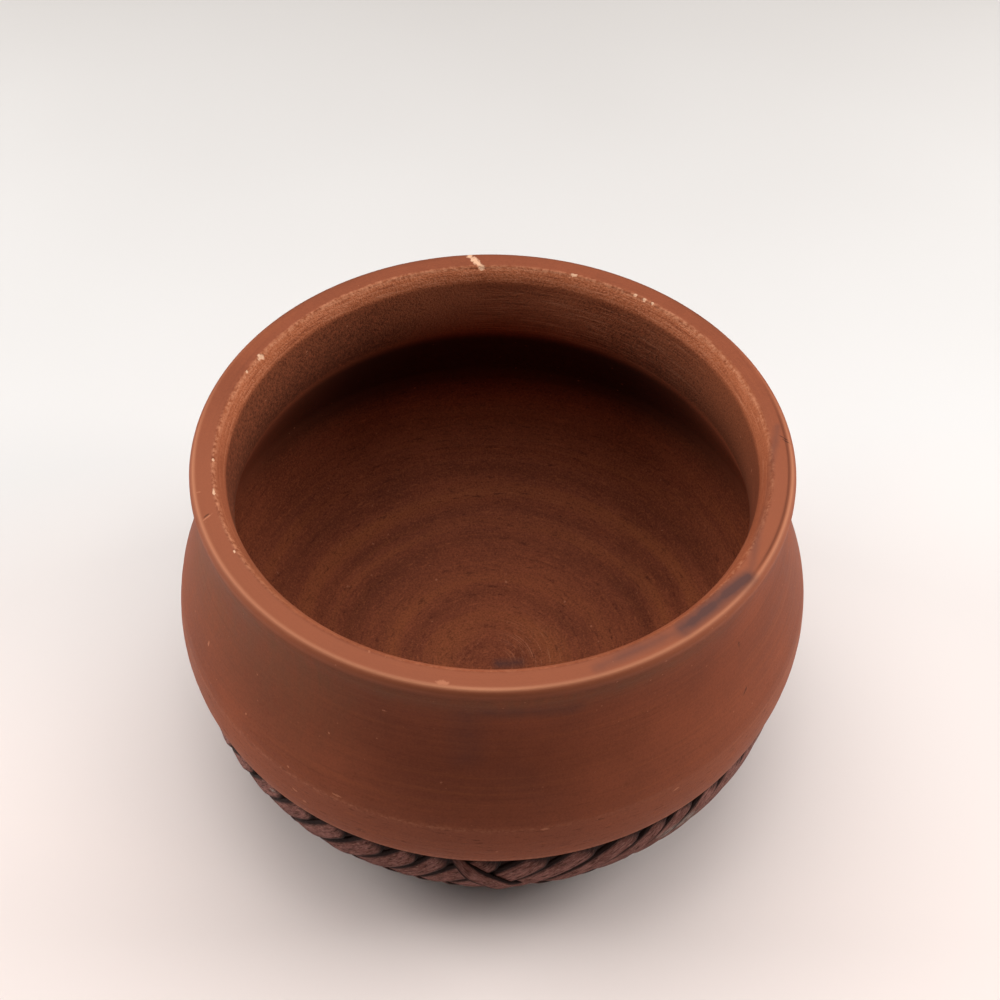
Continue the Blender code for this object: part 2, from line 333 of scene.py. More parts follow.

# Smoke stains from the firing, and a painted shade band under the rolled rim at the front: start and end of
# each, how wide it is and how dark
lip_top = bowl_height
stains_and_rim_shade = [
    (at_angle(37, 0.0572, lip_top), at_angle(55, 0.0581, lip_top), 0.0025, 1.0),
    (at_angle(19, 0.0576, lip_top), at_angle(36, 0.0572, lip_top), 0.0022, 0.50),
    (at_angle(57, 0.0576, lip_top), at_angle(96, 0.0578, lip_top), 0.0016, 0.40),
    (at_angle(97, 0.0016, 0.0045), at_angle(95, 0.0070, 0.0047), 0.0024, 0.70),
    # Painted shade: the dark band under the rolled rim at the front
    (at_angle(-1, 0.0596, 0.0712), at_angle(15, 0.0595, 0.0698), 0.0032, 0.45),
    (at_angle(-4, 0.0596, 0.0700), at_angle(-4, 0.0612, 0.0600), 0.0070, 0.32),
    (at_angle(4, 0.0625, 0.0545), at_angle(8, 0.0645, 0.0500), 0.0150, 0.16),
]
smoke_and_rim_shade = np.max([closeness(bowl_points, *stain[:3]) * stain[3] for stain in stains_and_rim_shade], axis=0)

# Olive tints on the neck, under the lip at the front and on the left, given as the stains are
tints = [
    (at_angle(-56, 0.0600, 0.0720), at_angle(-30, 0.0600, 0.0690), 0.0120, 1.0),
    (at_angle(-74, 0.0605, 0.0640), at_angle(-36, 0.0605, 0.0640), 0.0210, 0.75),
]
tinted = np.max([closeness(bowl_points, *tint[:3]) * tint[3] for tint in tints], axis=0)
under_lip = bump_at(path, corner_end + 0.0030, 0.0036) * span(degrees, -70, -45, 25, 62)
tinted = np.maximum(tinted, 0.8 * under_lip)

# The wall inside the neck: grainy at the back, coarser on the left and smoother on the right, scratched
# along its back, with painted shade on its sides and in the undercut under the shoulder, and painted light
# on the middle of its back
at_back = soft_step(np.abs(degrees), 78, 114)
on_wall = span(path, throat_at - 0.003, throat_at + 0.001, slope_end - 0.0008, slope_end + 0.0002)
neck_only = on_wall * soft_step(-path, -slope_start - 0.0004, -slope_start + 0.001)
wall_height = np.clip((path - throat_at) / (slope_start - throat_at), 0, 1)
grainy = on_wall * at_back * (1 - 0.5 * span(degrees, 62, 82, 112, 126))
# Painted light: the middle of the wall's back is laid paler and less coarse
back_wall_painted_light = neck_only * soft_step(np.abs(degrees), 148, 172)
coarse = neck_only * (soft_step(-degrees, 62, 84) + 0.8 * soft_step(degrees, 120, 145)) - 0.8 * back_wall_painted_light
# The scraped salmon finish, laid stronger at the back and higher up the wall as painted light
scraped_and_painted_light = on_wall * at_back * (0.45 + 0.55 * wall_height)
scratched = on_wall * soft_step(-path, -slope_start, -slope_start + 0.002) \
    * (soft_step(degrees, 112, 140) + soft_step(-degrees, 170, 179))
left_wall = (0.74 - 0.30 * wall_height) * span(-degrees, 30, 70, 145, 178)
right_wall = (0.70 - 0.34 * wall_height) * span(degrees, 30, 70, 135, 170)
# Painted shade in the undercut under the shoulder, darkest at the back, with a faint lighter line near the
# crease, and on the sides of the neck wall, darker towards the throat
neck_painted_shade = span(path, inside_end - 0.010, inside_end, throat_at - 0.005, throat_at + 0.001) \
    * (0.30 + 0.70 * soft_step(np.abs(degrees), 105, 150))
neck_painted_shade = neck_painted_shade * (1 - 0.10 * bump_at(path, inside_end - 0.0012, 0.0010))
neck_painted_shade = np.maximum(neck_painted_shade, neck_only * (left_wall + right_wall))

# The swirl in the middle of the floor, the lip's slope and rubbed flat, and the dusty low belly
swirled = inside_wall * bump_at(profile[:, :1], 0.0105, 0.0055) * bump_at(degrees, 112, 45)
slope = span(path, slope_start - 0.0004, slope_start + 0.0005, slope_end - 0.0003, slope_end + 0.0003)
rubbed = span(path, slope_end, slope_end + 0.0006, corner_end, corner_end + 0.001)
low_belly = (0.65 * soft_step(path, ridge_at + 0.0014, ridge_at + 0.0034)
             + 0.35 * soft_step(path, ridge_at - 0.016, ridge_at + 0.002)) \
    * soft_step(-path, -clay_edge_at - 0.001, -clay_edge_at)

# A painted highlight along the lip's outer edge, and edges that are worn pale: inside the lip, on the line
# below the ridge and at the clay edge
lip_edge_highlight = bump_at(path, flat_end + 0.0005, 0.00034) * (1 - 0.75 * at_back)
lip_edge_highlight = lip_edge_highlight * (0.65 + 0.35 * bump_at(degrees, -2, 9))
worn = np.maximum(0.9 * lip_line, bump_at(path, slope_end - 0.0004, 0.0004) * (0.5 + 0.5 * at_back))
worn = worn * (0.3 + 0.7 * soft_step(np.abs(degrees), 35, 60))
worn = worn * (1 - 0.45 * soft_step(degrees, 40, 70) * (1 - at_back))
worn = np.maximum(worn, 0.34 * ridge_line)
worn = np.maximum(worn, 0.45 * bump_at(path, clay_edge_at - 0.0005, 0.0008))

zones = {
    "along": path,
    "ring_tone": ring_tone,
    "inside_wall": inside_wall,
    "swirled": swirled,
    "neck_painted_shade": neck_painted_shade,
    "grainy": grainy,
    "coarse": np.maximum(coarse, 0),
    "back_wall_painted_light": back_wall_painted_light,
    "scraped_and_painted_light": scraped_and_painted_light,
    "scratched": scratched,
    "slope": slope * (0.30 + 0.70 * at_back),
    "rubbed": rubbed * (1 - 0.60 * at_back),
    "lip_edge_highlight": lip_edge_highlight,
    # The groove zone also carries the painted shade on the lip's far edge
    "groove": np.maximum(lip_groove, 0.8 * far_edge_shade),
    "worn": worn,
    "smoke_and_rim_shade": smoke_and_rim_shade,
    "tinted": tinted,
    "low_belly": low_belly,
    # Painted shade on the foot, below the plait
    "foot_painted_shade": soft_step(path, clay_edge_at, edge_end + 0.001),
}
for zone, values in zones.items():
    paint(clay, zone, np.broadcast_to(values, bowl_points.shape[:2]))


def shader_node(tree, kind, sockets, output=0, **settings):
    """A shader node's output, with its sockets linked or set, by name or by number."""
    made = tree.nodes.new("ShaderNode" + kind)
    for setting, value in settings.items():
        setattr(made, setting, value)
    for key, value in sockets.items():
        if isinstance(value, bpy.types.NodeSocket):
            tree.links.new(value, made.inputs[key])
        else:
            made.inputs[key].default_value = value
    return made.outputs[output]


def painted(tree, name):
    """The number that was painted on the piece under a name."""
    return shader_node(tree, "Attribute", {}, 2, attribute_name=name)


def noise(tree, vector, scale, detail=3.0, rough=0.55):
    """Cloudy noise from 0 to 1."""
    return shader_node(tree, "TexNoise", {
        "Vector": vector, "Scale": scale, "Detail": detail, "Roughness": rough})


def stretch(tree, vector, scale):
    """A vector scaled along its three axes."""
    return shader_node(tree, "Mapping", {"Vector": vector, "Scale": scale})


def between(tree, value, low, high, start=0.0, end=1.0):
    """A value's place between low and high, from start to end, and no further."""
    return shader_node(tree, "MapRange", {0: value, 1: low, 2: high, 3: start, 4: end}, clamp=True)


def sums(tree, operation, first, second):
    """Two numbers added, multiplied or otherwise worked together."""
    return shader_node(tree, "Math", {0: first, 1: second}, operation=operation)


def mixed(tree, share, first, second):
    """One colour going over into another by a share."""
    return shader_node(tree, "Mix", {0: share, 6: first, 7: second}, 2, data_type="RGBA")


def times(tree, first, second):
    """Two numbers multiplied."""
    return sums(tree, "MULTIPLY", first, second)


def laid(tree, colour, new_colour, share, zone):
    """A colour with another one laid over it by a share, in a zone only."""
    return mixed(tree, times(tree, share, zone), colour, new_colour)


def new_material(name):
    """An empty material with its shader, ready for the nodes of one finish."""
    material = bpy.data.materials.new(name)
    material.use_nodes = True
    tree = material.node_tree
    return material, tree, tree.nodes["Principled BSDF"]


def small_marks(tree, place, ragged, marks):
    """How far a place is inside the nearest of a list of small marks: 0 at its edge, 1 in its middle.

    A mark is an ellipsoid: its angle round from the front, radius and height, its half sizes
    along the rim, across it and upright, its turn on the clay, and its tilt from level.
    """
    nearest = None
    for degrees, radius, height, half_sizes, turn, tilt in marks:
        inside = shader_node(tree, "Mapping", {
            "Vector": place, "Location": at_angle(degrees, radius, height), "Scale": half_sizes,
            "Rotation": (0.0, math.radians(-tilt), math.radians(degrees + turn))}, vector_type="TEXTURE")
        away = shader_node(tree, "VectorMath", {0: inside}, 1, operation="LENGTH")
        nearest = away if nearest is None else sums(tree, "MINIMUM", nearest, away)
    return between(tree, sums(tree, "ADD", nearest, ragged), 1.0, 0.0)


CLAY_RED = (0.265, 0.069, 0.032, 1.0)
CLAY_BROWN = (0.192, 0.049, 0.023, 1.0)
CLAY_ORANGE = (0.350, 0.102, 0.034, 1.0)
CLAY_PALE = (0.500, 0.190, 0.100, 1.0)
CLAY_ROSE = (0.315, 0.094, 0.045, 1.0)
CLAY_DUSTY = (0.325, 0.110, 0.064, 1.0)
CLAY_SALMON = (0.400, 0.116, 0.048, 1.0)
CLAY_CREAM = (0.600, 0.245, 0.130, 1.0)
CLAY_DARK = (0.090, 0.023, 0.012, 1.0)
CHIP_PALE = (0.780, 0.460, 0.290, 1.0)
# Smoke on the clay, also used for the painted shade band under the rim
SMOKE_AND_SHADE = (0.076, 0.040, 0.038, 1.0)
GREY_BROWN = (0.172, 0.066, 0.034, 1.0)
# Black for painted shade and for dark nicks
SHADE_AND_NICK_BLACK = (0.026, 0.012, 0.0085, 1.0)

# Chips in the lip, where paler clay shows, as small_marks takes them
lip_chips = [
    (-174.4, 0.0591, lip_top, (0.0010, 0.0007, 0.0012), 0, 0),
    (-175.7, 0.0570, lip_top, (0.0009, 0.0026, 0.0012), 32, 0),
    (-176.8, 0.0552, lip_top - 0.0003, (0.0008, 0.0006, 0.0010), 0, 0),
    (161.8, 0.0555, lip_top, (0.0009, 0.0005, 0.0010), 12, 0),
    (146.4, 0.0555, lip_top, (0.0005, 0.0005, 0.0010), 0, 0),
    (143.9, 0.0554, lip_top, (0.0005, 0.0004, 0.0010), 0, 0),
    (141.7, 0.0554, lip_top, (0.0004, 0.0004, 0.0010), 0, 0),
    (-117.1, 0.0551, lip_top - 0.0003, (0.0010, 0.0008, 0.0012), 0, 0),
    (-111.6, 0.0552, lip_top, (0.0004, 0.0003, 0.0010), 0, 0),
    (-84.7, 0.0553, lip_top, (0.0004, 0.0003, 0.0010), 0, 0),
    (-75.6, 0.0556, lip_top, (0.0010, 0.0003, 0.0010), 0, 0),
    (-59.2, 0.0561, lip_top, (0.0005, 0.0003, 0.0010), 0, 0),
]
# Pale spots and dashes outside and inside, where grit was rubbed bare
grit = [
    (-8.1, 0.0587, lip_top, (0.0013, 0.0006, 0.0010), 0, 0),
    (-69.6, 0.0578, lip_top, (0.0002, 0.0014, 0.0010), 30, 0),
    (-18.6, 0.0597, 0.0670, (0.0006, 0.0010, 0.0003), 0, 0),
    (-61.8, 0.0637, 0.0511, (0.0004, 0.0010, 0.0009), 0, 0),
    (-28.8, 0.0621, 0.0563, (0.0003, 0.0010, 0.0003), 0, 0),
    (-46.9, 0.0649, 0.0476, (0.0003, 0.0010, 0.0003), 0, 0),
    (-35.8, 0.0662, 0.0437, (0.0004, 0.0010, 0.0003), 0, 0),
    (-25.7, 0.0663, 0.0432, (0.0012, 0.0010, 0.0003), 0, 0),
    (-32.3, 0.0671, 0.0361, (0.0006, 0.0010, 0.0004), 0, 25),
    (-34.1, 0.0671, 0.0383, (0.0008, 0.0010, 0.0003), 0, -10),
    (32.9, 0.0665, 0.0410, (0.0011, 0.0010, 0.0003), 0, 8),
    (9.3, 0.0665, 0.0418, (0.0010, 0.0010, 0.0003), 0, 0),
    (171.2, 0.0234, 0.0068, (0.0004, 0.0004, 0.0010), 0, 0),
    (134.0, 0.0245, 0.0070, (0.0004, 0.0004, 0.0010), 0, 0),
    (111.8, 0.0256, 0.0073, (0.0004, 0.0003, 0.0010), 0, 0),
    (-150.0, 0.0265, 0.0074, (0.0004, 0.0003, 0.0010), 0, 0),
]
# Dark nicks and scratches
nicks = [
    (-70.0, 0.0580, lip_top, (0.0002, 0.0012, 0.0010), 30, 0),
    (93.0, 0.0583, lip_top, (0.0002, 0.0013, 0.0010), -42, 0),
    (91.9, 0.0588, lip_top, (0.0002, 0.0012, 0.0010), -42, 0),
    (51.7, 0.0601, 0.0628, (0.0003, 0.0010, 0.0011), 0, 0),
    (51.2, 0.0635, 0.0512, (0.0015, 0.0010, 0.0003), 0, 34),
]


def clay_finish():
    """Fired clay: red-brown mottling, turning streaks, rings, grain, worn edges, smoke and chips, with
    painted shade, painted light and a painted highlight on the neck, lip and foot.

    A noise scale counts its waves in a metre. Stretched noise runs along the turning of the
    wheel, because its last axis is the way along the profile.
    """
    material, tree, shader = new_material("fired_clay")
    place = shader_node(tree, "TexCoord", {}, 3)
    parts = shader_node(tree, "SeparateXYZ", {0: place}).node.outputs
    turned = shader_node(tree, "CombineXYZ", {0: parts[0], 1: parts[1], 2: painted(tree, "along")})
    mottle = noise(tree, place, 42.0, 5.0, 0.6)
    streak = noise(tree, stretch(tree, turned, (22.0, 22.0, 1300.0)), 1.0, 4.0, 0.65)
    lines = noise(tree, stretch(tree, turned, (110.0, 110.0, 2500.0)), 1.0, 3.0, 0.6)
    dashes = noise(tree, stretch(tree, turned, (330.0, 330.0, 1700.0)), 1.0, 2.0, 0.6)
    bands = noise(tree, stretch(tree, turned, (14.0, 14.0, 260.0)), 1.0, 4.0, 0.65)
    drips = noise(tree, stretch(tree, place, (620.0, 620.0, 50.0)), 1.0, 3.0, 0.6)
    grain = noise(tree, place, 2300.0, 2.5, 0.7)
    coarse_grain = noise(tree, place, 1500.0, 2.0, 0.6)
    speck = noise(tree, place, 900.0, 1.0, 0.5)
    inner = painted(tree, "inside_wall")
    dusty = painted(tree, "low_belly")
    rough_zone = painted(tree, "grainy")
    sloped = painted(tree, "slope")
    scored = painted(tree, "scratched")
    shaded = painted(tree, "neck_painted_shade")

    # Mottling and turning streaks all over, then the tone of the rings inside
    colour = mixed(tree, between(tree, mottle, 0.35, 0.68), CLAY_BROWN, CLAY_RED)
    colour = mixed(tree, between(tree, streak, 0.52, 0.80, 0.0, 0.35), colour, CLAY_ORANGE)
    colour = mixed(tree, between(tree, streak, 0.44, 0.22, 0.0, 0.35), colour, CLAY_DARK)
    blotchy = times(tree, inner, between(tree, bands, 0.30, 0.70, -0.45, 0.45))
    tone = sums(tree, "ADD", painted(tree, "ring_tone"), blotchy)
    colour = mixed(tree, between(tree, tone, 0.05, 1.0, 0.0, 0.60), colour, CLAY_ORANGE)
    colour = mixed(tree, between(tree, tone, -0.05, -1.0, 0.0, 0.50), colour, CLAY_DARK)

    # The dusty low belly, the olive tint, and dashes and swirls of the turning
    colour = laid(tree, colour, CLAY_DUSTY, 0.45, dusty)
    olive = between(tree, drips, 0.30, 0.65, 0.45, 0.95)
    colour = laid(tree, colour, GREY_BROWN, olive, painted(tree, "tinted"))
    marked = sums(tree, "MAXIMUM", inner, times(tree, dusty, 0.7))
    colour = laid(tree, colour, CLAY_DARK, between(tree, dashes, 0.40, 0.26, 0.0, 0.8), marked)
    colour = laid(tree, colour, CLAY_SALMON, between(tree, dashes, 0.60, 0.74, 0.0, 0.55), marked)
    swirl = between(tree, lines, 0.56, 0.66, 0.0, 0.8)
    colour = laid(tree, colour, CLAY_PALE, swirl, painted(tree, "swirled"))

    # Grain, strong on the scraped wall inside the neck and on the lip's slope; the wall's salmon is laid
    # stronger at the back as painted light
    spots = times(tree, inner, 0.35)
    light_share = sums(tree, "ADD", times(tree, rough_zone, 0.75), sums(tree, "ADD", spots, 0.12))
    dark_share = sums(tree, "ADD", times(tree, rough_zone, 0.62), sums(tree, "ADD", spots, 0.20))
    dark_share = times(tree, dark_share, between(tree, sloped, 0.0, 1.0, 1.0, 0.55))
    grain_colour = mixed(tree, sloped, CLAY_SALMON, CLAY_PALE)
    colour = laid(tree, colour, CLAY_SALMON, 0.80, painted(tree, "scraped_and_painted_light"))
    colour = laid(tree, colour, CLAY_SALMON, 0.80, sloped)
    colour = laid(tree, colour, grain_colour, between(tree, grain, 0.50, 0.68), light_share)
    colour = laid(tree, colour, CLAY_DARK, between(tree, grain, 0.48, 0.32), dark_share)

    # Scratches on the slope and the wall, painted shade under the neck and on the wall's sides, painted
    # light on the middle of its back, and coarse grain over it
    colour = laid(tree, colour, CLAY_BROWN, between(tree, lines, 0.47, 0.34, 0.0, 0.65), sloped)
    colour = laid(tree, colour, CLAY_PALE, between(tree, lines, 0.54, 0.66, 0.0, 0.65), sloped)
    colour = laid(tree, colour, CLAY_DARK, between(tree, lines, 0.46, 0.32, 0.0, 0.65), scored)
    colour = laid(tree, colour, CLAY_PALE, between(tree, lines, 0.54, 0.64, 0.0, 0.75), scored)
    colour = laid(tree, colour, SHADE_AND_NICK_BLACK, 0.90, shaded)
    colour = laid(tree, colour, CLAY_PALE, 0.25, painted(tree, "back_wall_painted_light"))
    coarse_zone = times(tree, painted(tree, "coarse"), between(tree, shaded, 0.70, 0.90, 1.0, 0.15))
    colour = laid(tree, colour, CLAY_RED, between(tree, coarse_grain, 0.52, 0.64, 0.0, 0.60), coarse_zone)
    colour = laid(tree, colour, CLAY_DARK, between(tree, coarse_grain, 0.48, 0.36, 0.0, 0.60), coarse_zone)
    colour = laid(tree, colour, CLAY_ROSE, 0.75, painted(tree, "rubbed"))

    # Worn edges, a painted highlight on the lip's outer edge, grit, smoke and a painted shade band under
    # the rim, the lip's groove with painted shade on its far edge, painted shade on the foot behind the
    # plait, nicks and chips
    wear = between(tree, noise(tree, place, 1300.0, 3.0), 0.40, 0.62)
    colour = laid(tree, colour, CLAY_CREAM, times(tree, wear, 0.85), painted(tree, "worn"))
    colour = laid(tree, colour, CLAY_CREAM, 0.90, painted(tree, "lip_edge_highlight"))
    colour = mixed(tree, between(tree, speck, 0.765, 0.80, 0.0, 0.45), colour, CLAY_PALE)
    ragged = between(tree, noise(tree, place, 1400.0, 3.0), 0.3, 0.7, -0.35, 0.35)
    bare = small_marks(tree, place, ragged, grit)
    colour = mixed(tree, between(tree, bare, 0.05, 0.45, 0.0, 0.70), colour, CLAY_PALE)
    cloud = between(tree, noise(tree, place, 160.0, 3.0), 0.25, 0.6, 0.5, 1.0)
    stain = times(tree, painted(tree, "smoke_and_rim_shade"), cloud)
    colour = mixed(tree, between(tree, stain, 0.08, 0.75, 0.0, 0.85), colour, SMOKE_AND_SHADE)
    colour = laid(tree, colour, CLAY_DARK, 0.7, painted(tree, "groove"))
    colour = laid(tree, colour, SHADE_AND_NICK_BLACK, 0.85, painted(tree, "foot_painted_shade"))
    nick = small_marks(tree, place, ragged, nicks)
    colour = mixed(tree, between(tree, nick, 0.05, 0.45, 0.0, 0.60), colour, SHADE_AND_NICK_BLACK)
    chip = small_marks(tree, place, ragged, lip_chips)
    colour = mixed(tree, between(tree, chip, 0.05, 0.40, 0.0, 0.90), colour, CHIP_PALE)
    tree.links.new(colour, shader.inputs["Base Color"])

    roughness = between(tree, mottle, 0.3, 0.7, 0.50, 0.64)
    roughness = sums(tree, "ADD", roughness, times(tree, rough_zone, 0.2))
    tree.links.new(roughness, shader.inputs["Roughness"])
    gloss = between(tree, painted(tree, "rubbed"), 0.0, 1.0, 0.05, 0.08)
    tree.links.new(gloss, shader.inputs["Specular IOR Level"])

    # Grain, streaks and scratches stand in relief, and the chips are sunk
    depth = times(tree, grain, sums(tree, "ADD", times(tree, rough_zone, 0.26), 0.05))
    depth = sums(tree, "ADD", depth, times(tree, streak, 0.07))
    depth = sums(tree, "ADD", depth, times(tree, times(tree, lines, scored), 0.22))
    depth = sums(tree, "ADD", depth, times(tree, noise(tree, place, 3600.0, 2.0), 0.02))
    depth = sums(tree, "SUBTRACT", depth, times(tree, between(tree, chip, 0.0, 0.5), 0.15))
    bump = shader_node(tree, "Bump", {"Height": depth, "Distance": 0.001, "Strength": 0.8})
    tree.links.new(bump, shader.inputs["Normal"])
    return material


clay.data.materials.append(clay_finish())
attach(clay, "root")
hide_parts("clay_bowl")

# Plait strands. Five flat strips of dried leaf, plaited over two and under two into a band
# that goes once round the bowl: a rising strip is behind in the lower half and in front in
# the upper half, and each strip folds over at the band's edges and lies on its neighbour.
STRANDS = 5
PITCH = 0.0081
STRIP_THICKNESS = 0.0007
TURN_RUN = 0.0026
PLAIT_TOP_ANGLE = math.radians(8.6)
FIRST_TURN = math.radians(1.6)
SEAT_CLEARANCE = 0.0003
LAYER_CLEARANCE = 0.0004
STRIP_WIDTH = 0.0054
STRIP_CROWN = 0.0013
STRIP_SUNK = 0.0002
LIFT = 0.10
CROSSING = -0.0042
JOG_RUN = 0.0016
SECTION_POWER = 0.62
RIB_SHARE = 0.10

layer_step = STRIP_THICKNESS + LAYER_CLEARANCE
plait_middle = SEAT_CLEARANCE + STRIP_THICKNESS / 2 + layer_step / 2
middle_radius = groove_radius + plait_middle
waves = round(2 * math.pi * (section_centre_radius + SECTION_RADIUS) / (STRANDS * PITCH))
turn_angle = 2 * math.pi / waves / STRANDS

# The centre line's radius depends on the plait's width and the width on that radius, so both
# are settled in a few rounds
SETTLING_ROUNDS = 20
centre_radius = section_centre_radius + SECTION_RADIUS
for settling in range(SETTLING_ROUNDS):
    half_advance = 2 * math.pi / waves / 4 * centre_radius
    strip_reach = half_advance + TURN_RUN / 2
    half_width = strip_reach + layer_step / 2 + STRIP_THICKNESS / 2
    centre_angle = PLAIT_TOP_ANGLE - half_width / middle_radius
    centre_radius = section_centre_radius + middle_radius * math.cos(centre_angle)
straight_reach = strip_reach - TURN_RUN


def slant(across):
    """How far a strip moves along the band for each unit across it: 1 midway, 0 at the edges."""
    return np.clip((strip_reach - np.abs(across)) / TURN_RUN, 0, 1)


def advance(across):
    """Where along the band a strip is, from the middle of its rise, at a place across the band."""
    turned = np.clip(np.abs(across) - straight_reach, 0, TURN_RUN)
    before = np.minimum(np.abs(across), straight_reach)
    return np.sign(across) * (before + turned - turned ** 2 / (2 * TURN_RUN))


# Where the strips were set off an even pitch, beside the join: middle, width and shift of each
# place, in degrees round from the front
uneven_places = [(24.0, 9.5, 2.9), (-4.2, 7.5, -2.6)]


def uneven(angle):
    """How far the strips at an angle were set off an even pitch: a sum of bell-shaped bumps."""
    turned = np.degrees((angle + math.pi) % (2 * math.pi) - math.pi)
    return np.radians(sum(shift * bump_at(turned, middle, width) for middle, width, shift in uneven_places))


def on_band(place_along, across, lift):
    """Points of the band in space, from places along and across it and heights over the clay."""
    round_angle = place_along / centre_radius
    round_angle = round_angle + uneven(round_angle)
    tilt = centre_angle + across / middle_radius
    out = section_centre_radius + (groove_radius + lift) * np.cos(tilt)
    up = section_centre_height + (groove_radius + lift) * np.sin(tilt)
    return np.stack((out * np.sin(round_angle), -out * np.cos(round_angle), up), axis=-1)


def one_rise(crossing):
    """Stations of one rise: along, across, lift from the middle layer, and lean.

    A quarter fold at the lower edge, a straight climb behind, a jog forward at the crossing,
    a straight climb in front, and a quarter fold at the upper edge.
    """
    fold = np.linspace(0, math.pi / 2, 6)[:-1]
    half_layer = layer_step / 2
    climb = np.linspace(-strip_reach, strip_reach, 34)
    jog = soft_step(climb, crossing - JOG_RUN, crossing + JOG_RUN) * 2 - 1
    across = np.concatenate((-strip_reach - half_layer * np.cos(fold), climb,
                             strip_reach + half_layer * np.sin(fold[1:])))
    lift = np.concatenate((-half_layer * np.sin(fold), half_layer * jog, half_layer * np.cos(fold[1:])))
    inner = np.clip(across, -strip_reach, strip_reach)
    return np.column_stack((advance(inner), across, lift, slant(inner)))


def strand_path(upper_turn):
    """All stations of one strand, once round the bowl, starting and ending behind its neighbours."""
    up = one_rise(CROSSING)
    down = one_rise(-CROSSING) * (1, -1, 1, -1)
    down[:, 0] += 2 * half_advance
    wave = np.vstack((up, down))
    wave_length = 4 * half_advance
    stations = np.vstack([wave + (turn * wave_length, 0, 0, 0) for turn in range(waves + 1)])
    first = int(np.argmin(np.abs(up[:, 1] + straight_reach / 2)))
    stations = stations[first:first + waves * len(wave)]
    stations[:, 0] += upper_turn * centre_radius - half_advance
    return stations


def strip_grid(stations, widths, crowns, lifts, tilts, section_steps=18):
    """A crowned strip carried along its stations, as a grid of points, with its place across.

    Its section is a flat ellipse with shallow ribs, set square to the strip. A tilt raises
    its right edge over its neighbour where the strip lies in front.
    """
    ahead = np.gradient(stations[:, :3], axis=0)
    ahead /= np.linalg.norm(ahead, axis=1)[:, None]
    lean = stations[:, 3]
    side = np.column_stack((np.ones(len(lean)), -lean, np.zeros(len(lean))))
    side /= np.linalg.norm(side, axis=1)[:, None]
    face = np.cross(side, ahead)
    turn = np.linspace(0, 2 * math.pi, section_steps, endpoint=False)
    beside = np.cos(turn)[None, :]
    over = np.sign(np.sin(turn)) * np.abs(np.sin(turn)) ** SECTION_POWER
    over = over[None, :] * (1 + RIB_SHARE * np.cos(5 * math.pi * beside))
    in_front = soft_step(stations[:, 2], -layer_step / 4, layer_step / 2)[:, None]
    offset = (widths[:, None, None] / 2 * beside[..., None] * side[:, None, :]
              + crowns[:, None, None] / 2 * over[..., None] * face[:, None, :])
    placed = stations[:, None, :3] + offset
    raised = lifts[:, None] * in_front + tilts[:, None] * widths[:, None] / 2 * beside * in_front
    placed[..., 2] += plait_middle + raised
    return on_band(placed[..., 0], placed[..., 1], placed[..., 2]), beside + 0 * placed[..., 0]


def laid_strip(name, stations, section, shade_where_hidden, number):
    """One strip as a piece: its section carried along its stations.

    Painted on it are its place across, its running length, which differs from strip to strip so that no two
    have the same fibres, and painted shade on its parts that lie behind other strips and under the clay
    edge.
    """
    grid, place_across = strip_grid(stations, *section)
    strip = closed_tube(name, grid)
    length = running_length(grid.mean(axis=1)) + number
    paint(strip, "across", place_across)
    paint(strip, "length", np.broadcast_to(length[:, None], place_across.shape))
    paint(strip, "shade_where_hidden", np.broadcast_to(shade_where_hidden[:, None], place_across.shape))
    return strip


# Each strip varies a little along its length in width, crown, height and tilt, as split and
# plaited by hand
hand = np.random.default_rng(7)
strand_pieces = []
for number in range(STRANDS):
    stations = strand_path(FIRST_TURN + (number - STRANDS // 2) * turn_angle)
    count = len(stations)
    knots = np.linspace(0, count, 2 * waves + 1)
    spread = hand.normal(0, 1, (4, len(knots)))
    loose = np.array([np.interp(np.arange(count), knots, row) for row in spread])
    near_edge = soft_step(np.abs(stations[:, 1]), straight_reach, strip_reach)
    widths = STRIP_WIDTH * (1 + 0.05 * loose[0]) * (1 - 0.30 * near_edge)
    crowns = STRIP_CROWN * (1 + 0.08 * loose[1]) * (1 - 0.35 * near_edge)
    lifts = 0.00006 * loose[2] * (1 - near_edge) - STRIP_SUNK
    tilts = LIFT * (1 + 0.25 * loose[3]) * (1 - 0.7 * near_edge)
    upper_half = soft_step(stations[:, 1], CROSSING - JOG_RUN, CROSSING + JOG_RUN / 4)
    # Painted shade on the parts behind other strips in the upper half, and on the strip's top under the
    # clay edge
    shade_where_hidden = soft_step(-stations[:, 2], -0.0003, 0.0003) * upper_half
    shade_where_hidden = np.maximum(shade_where_hidden, soft_step(stations[:, 1], strip_reach - TURN_RUN, strip_reach - 0.0006))
    strand_pieces.append(laid_strip(f"plait_strand_{number + 1}_strip", stations,
                                    (widths, crowns, lifts, tilts), shade_where_hidden, number))

STRIP_BROWN = (0.178, 0.060, 0.045, 1.0)
STRIP_MAUVE = (0.290, 0.118, 0.095, 1.0)
STRIP_DARK = (0.042, 0.012, 0.008, 1.0)
# Black for the painted shade on the strips
STRIP_SHADE_BLACK = (0.011, 0.003, 0.002, 1.0)
STRIP_PALE = (0.420, 0.225, 0.175, 1.0)
STRIP_BLEACHED = (0.360, 0.300, 0.260, 1.0)

# Places where a strip is bleached grey, as small_marks takes them
bleached = [
    (36.8, 0.0646, 0.0209, (0.0062, 0.0034, 0.0024), 0, 6),
    (-42.4, 0.0655, 0.0258, (0.0014, 0.0024, 0.0005), 0, 24),
]


